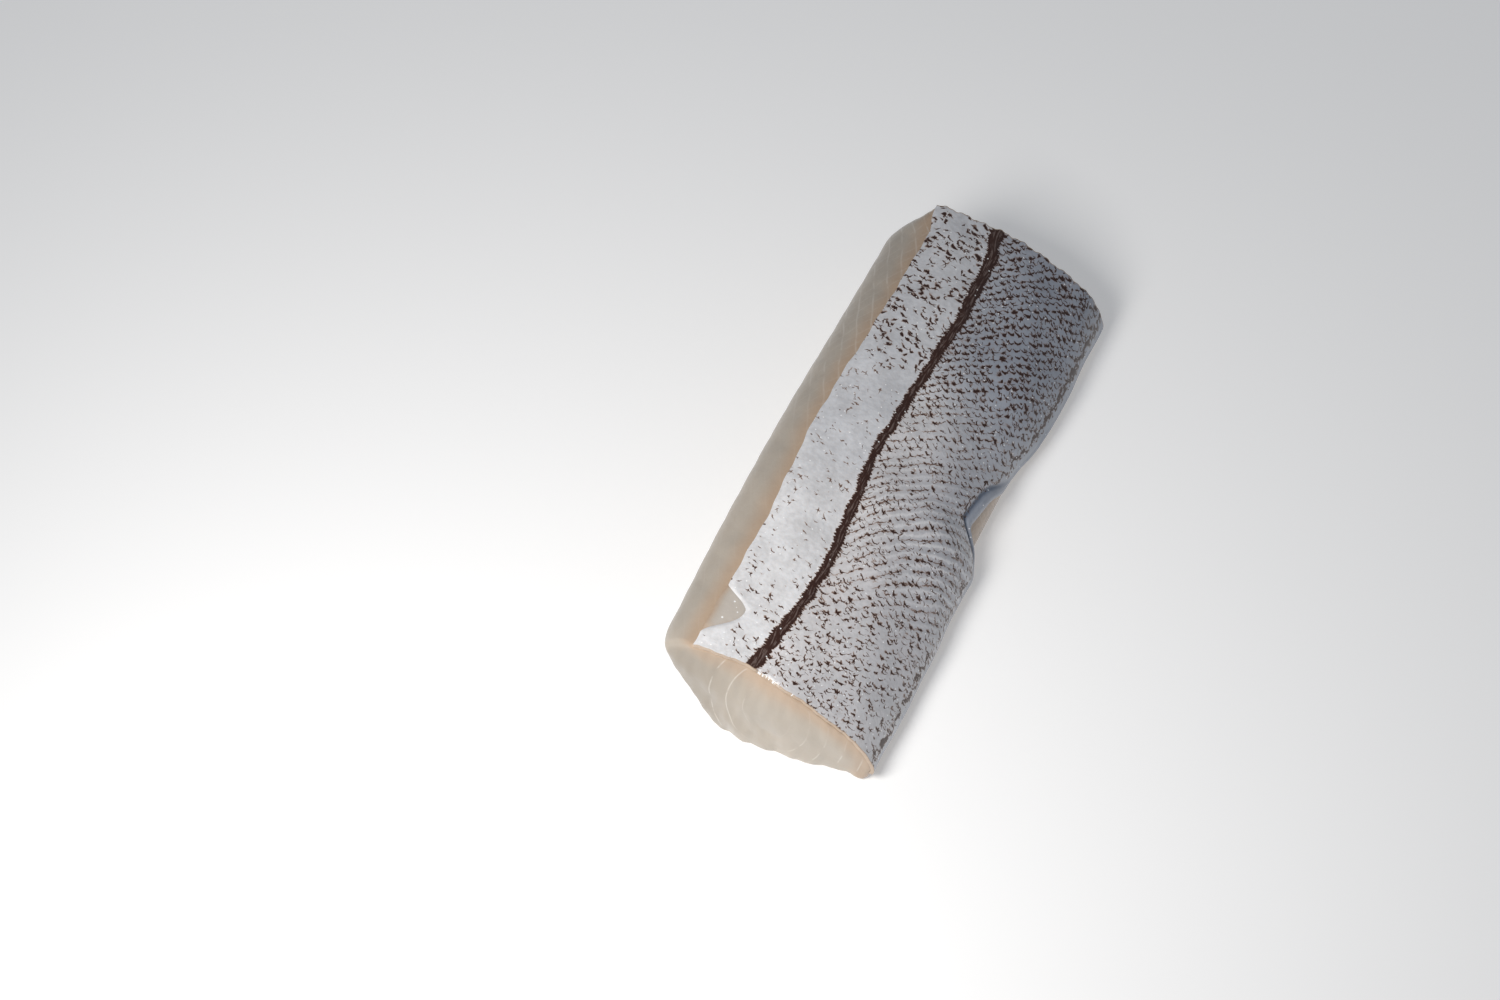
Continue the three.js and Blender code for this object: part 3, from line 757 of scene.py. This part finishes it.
# Painted shade in the crease, blue-dark along it where it dips in.
crease = add("Math", low_away, CREASE_ABOVE, operation="SUBTRACT")
crease = add("Math", crease, operation="ABSOLUTE")
crease = add("MapRange", crease, 1.3, 0.2, 0.0, 0.75, **SMOOTH)
crease = add("Math", crease, creased, operation="MULTIPLY")
ground = add("Mix", crease, ground, PAINTED_CREASE_SHADE, **COLOURS)

# The pigment on it has a brown edge. Where the skin is cut through, its pale inside shows.
halo = add("MapRange", pigment, 0.0, 0.5, **SMOOTH)
browner = add("Math", blue_grey_and_shade, -0.5, 0.85, operation="MULTIPLY_ADD")
halo = add("Math", halo, browner, operation="MULTIPLY")
painted = add("Mix", halo, ground, PIGMENT_EDGE, **COLOURS)
painted = add("Mix", add("MapRange", pigment, 0.25, 0.85, **SMOOTH), painted, PIGMENT, **COLOURS)
stretched = add("VectorMath", place, (2.8, 0.3, 1.0), operation="MULTIPLY")
streaks = add("TexNoise", stretched, 1.0, 2, **FLAT)  # 0.4 by 3.3 mm each
streaks = add("MapRange", streaks, 0.47, 0.66, 0.0, 0.75, **SMOOTH)
in_line = add("MapRange", line_edge, 1.1, 0.7, **SMOOTH)
streaks = add("Math", streaks, in_line, operation="MULTIPLY")
painted = add("Mix", streaks, painted, LINE_GREY, **COLOURS)
half_way = add("Math", along_y, LENGTH / 2, operation="SUBTRACT")
half_way = add("Math", half_way, operation="ABSOLUTE")
cut_away = add("Math", LENGTH / 2, half_way, operation="SUBTRACT")
cut_away = add("MapRange", cut_away, 0.35, 0.05, **SMOOTH)
painted = add("Mix", cut_away, painted, SKIN_UNDER, **COLOURS)

# Water stands where the skin turns down into the near cut beside the line; its glints there are
# painted highlights, white in
# 0.8 mm bits. Beads of it catch the light all over the skin, with more of them near that cut, and
# are painted white as highlights.
wet = add("MapRange", along_s, 15.5, 16.5, **SMOOTH)
wet = add("Math", wet, add("MapRange", along_s, 23.0, 20.0, **SMOOTH), operation="MULTIPLY")
at_cut = add("Math", granules, 1.2, along_y, operation="MULTIPLY_ADD")
wet = add("Math", wet, add("MapRange", at_cut, 1.6, 0.5, **SMOOTH), operation="MULTIPLY")
stretched = add("VectorMath", place, (1.0, 1.8, 1.0), operation="MULTIPLY")
glint = add("MapRange", add("TexNoise", stretched, 1.3, 2, **FLAT), 0.48, 0.56, **SMOOTH)
wettest = add("MapRange", wet, 0.25, 0.6, **SMOOTH)
glint = add("Math", glint, wettest, operation="MULTIPLY")
bead_cells = add("VectorMath", place, (0.55, 0.55, 0.0), operation="MULTIPLY")  # 1.8 mm each
bead_way, bead_chance = scattered(bead_cells, 1.0, 1.0)
bead_glint = add("MapRange", add("VectorMath", bead_way, operation="LENGTH"), 0.13, 0.06, **SMOOTH)
more = add("MapRange", along_y, 26.0, 12.0, 0.0, 0.12, **SMOOTH)
beaded = add("Math", add("SeparateColor", bead_chance).outputs["Red"], more, operation="ADD")
beaded = add("MapRange", beaded, 0.86, 0.88, **SMOOTH)
bead_glint = add("Math", bead_glint, beaded, operation="MULTIPLY")
shining = add("Math", bead_glint, glint, operation="MAXIMUM")
painted = add("Mix", shining, painted, GLINT_WHITE, **COLOURS)

coat = add("MapRange", wet, 0.0, 0.3, **SMOOTH)
coat = add("Math", coat, 0.65, 0.35, operation="MULTIPLY_ADD")
height = add("Math", wet, -0.5, operation="MULTIPLY")
height = add("Math", granules, 0.1, height, operation="MULTIPLY_ADD")
bump = feed(add("Bump"), {"Height": height, "Strength": 1.0, "Distance": MM})
feed(shader, {
    "Base Color": painted, "Roughness": 0.42, "Normal": bump,
    "Subsurface Weight": 0.12, "Subsurface Radius": (1.0, 0.85, 0.75), "Subsurface Scale": MM,
    "Coat Weight": coat, "Coat Roughness": 0.15,
})

skin.data.materials.append(hide)
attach(skin, "root")
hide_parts("haddock_loin")
